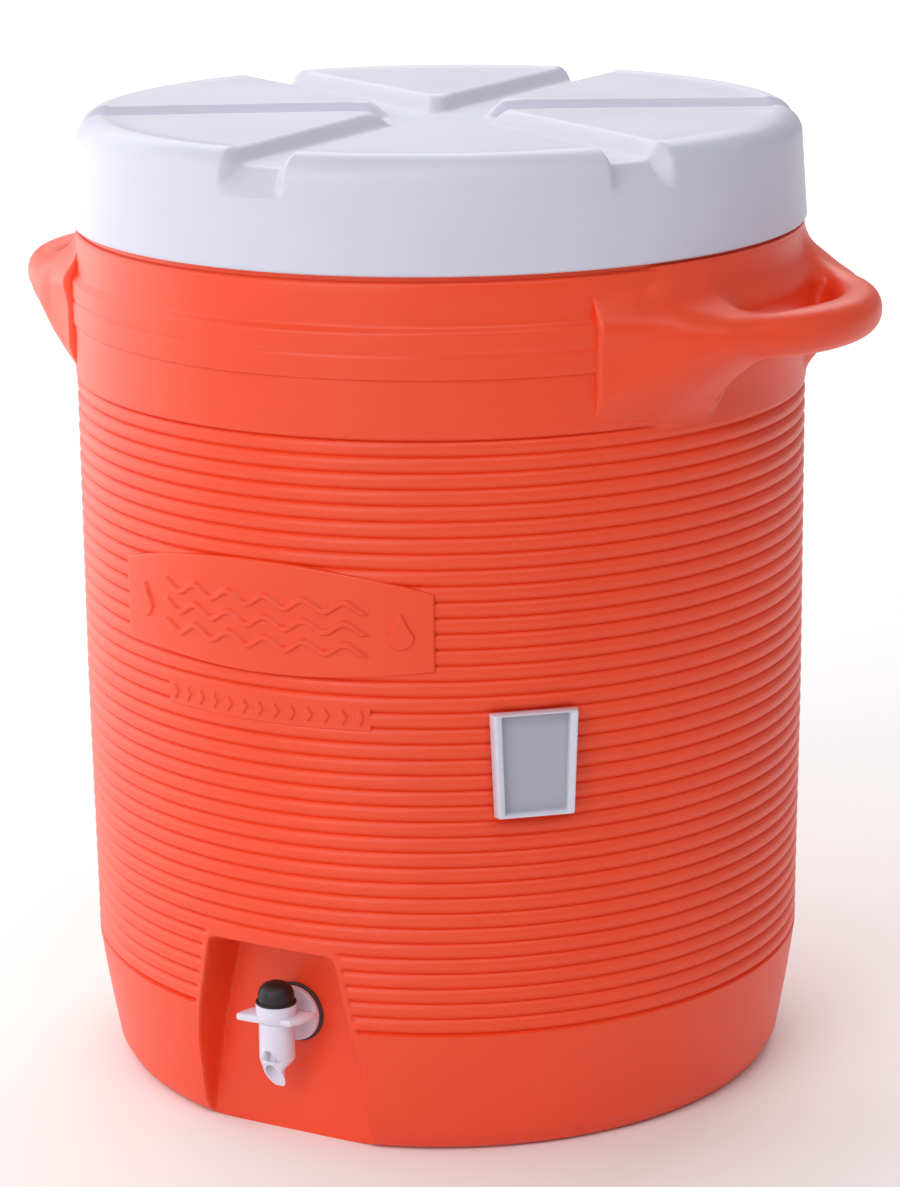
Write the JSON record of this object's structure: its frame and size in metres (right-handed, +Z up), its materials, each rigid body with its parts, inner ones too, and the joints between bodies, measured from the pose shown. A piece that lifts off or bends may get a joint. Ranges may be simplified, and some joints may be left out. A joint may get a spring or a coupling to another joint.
{
  "type": "insulated drinking water dispenser",
  "caption": "Round insulated drinking water dispenser: ribbed tub with two moulded carrying handles, grooved screw lid, cup bracket and push button spigot in a front recess.",
  "frame": {"origin": "on the floor at the middle of the base", "axes": "+Z up; the spigot faces -Y and the two handles are at +X and -X"},
  "size_m": [0.504, 0.4036, 0.531],
  "materials": {
    "shell_orange": "satin moulded polyethylene",
    "lid_white": "satin moulded polyethylene",
    "liner_white": "smooth food-grade polyethylene",
    "spigot_white": "polished moulding",
    "bracket_white": "polished moulding",
    "rubber_black": "matt moulded rubber",
    "rubber_grey": "matt moulded rubber",
    "plug_grey": "moulded polyethylene",
    "foam_cream": "rigid foam",
    "spring_steel": "stainless wire"
  },
  "bodies": {
    "cooler": {"outer_shell": "shell_orange", "inner_liner": "liner_white", "foam_insulation": "foam_cream", "foam_fill_plug": "plug_grey", "cup_bracket": "bracket_white", "bracket_push_nuts": "spring_steel", "spigot_body": "spigot_white", "spigot_bonnet": "spigot_white", "button_seal_ring": "rubber_black", "return_spring": "spring_steel", "outer_washer": "rubber_grey", "inner_washer": "rubber_grey", "spigot_nut": "spigot_white", "wall_sleeve": "liner_white"},
    "button": {"spigot_button": "rubber_black", "valve_stem": "spigot_white", "valve_disc": "rubber_grey"},
    "lid_gasket": {"lid_gasket": "rubber_grey"},
    "lid": {"lid_shell": "lid_white", "lid_liner": "liner_white", "lid_foam": "foam_cream"}
  },
  "joints": [
    {"name": "button_press", "type": "slide", "parent": "cooler", "child": "button", "axis": [0, 0, -1], "range_m": [0, 0.004], "stiffness_N_per_m": 600, "springref_m": -0.004, "deforming": ["return_spring"]},
    {"name": "lid_rise", "type": "slide", "parent": "cooler", "child": "lid_gasket", "axis": [0, 0, 1], "range_m": [0, 0.0725]},
    {"name": "lid_turn", "type": "hinge", "parent": "lid_gasket", "child": "lid", "pos_m": [0, 0, 0.472], "axis": [0, 0, 1], "range_deg": [0, 540]}
  ],
  "couplings": [
    {"joint": "lid_rise", "follows": "lid_turn", "m_per_rad": 0.0076394}
  ]
}
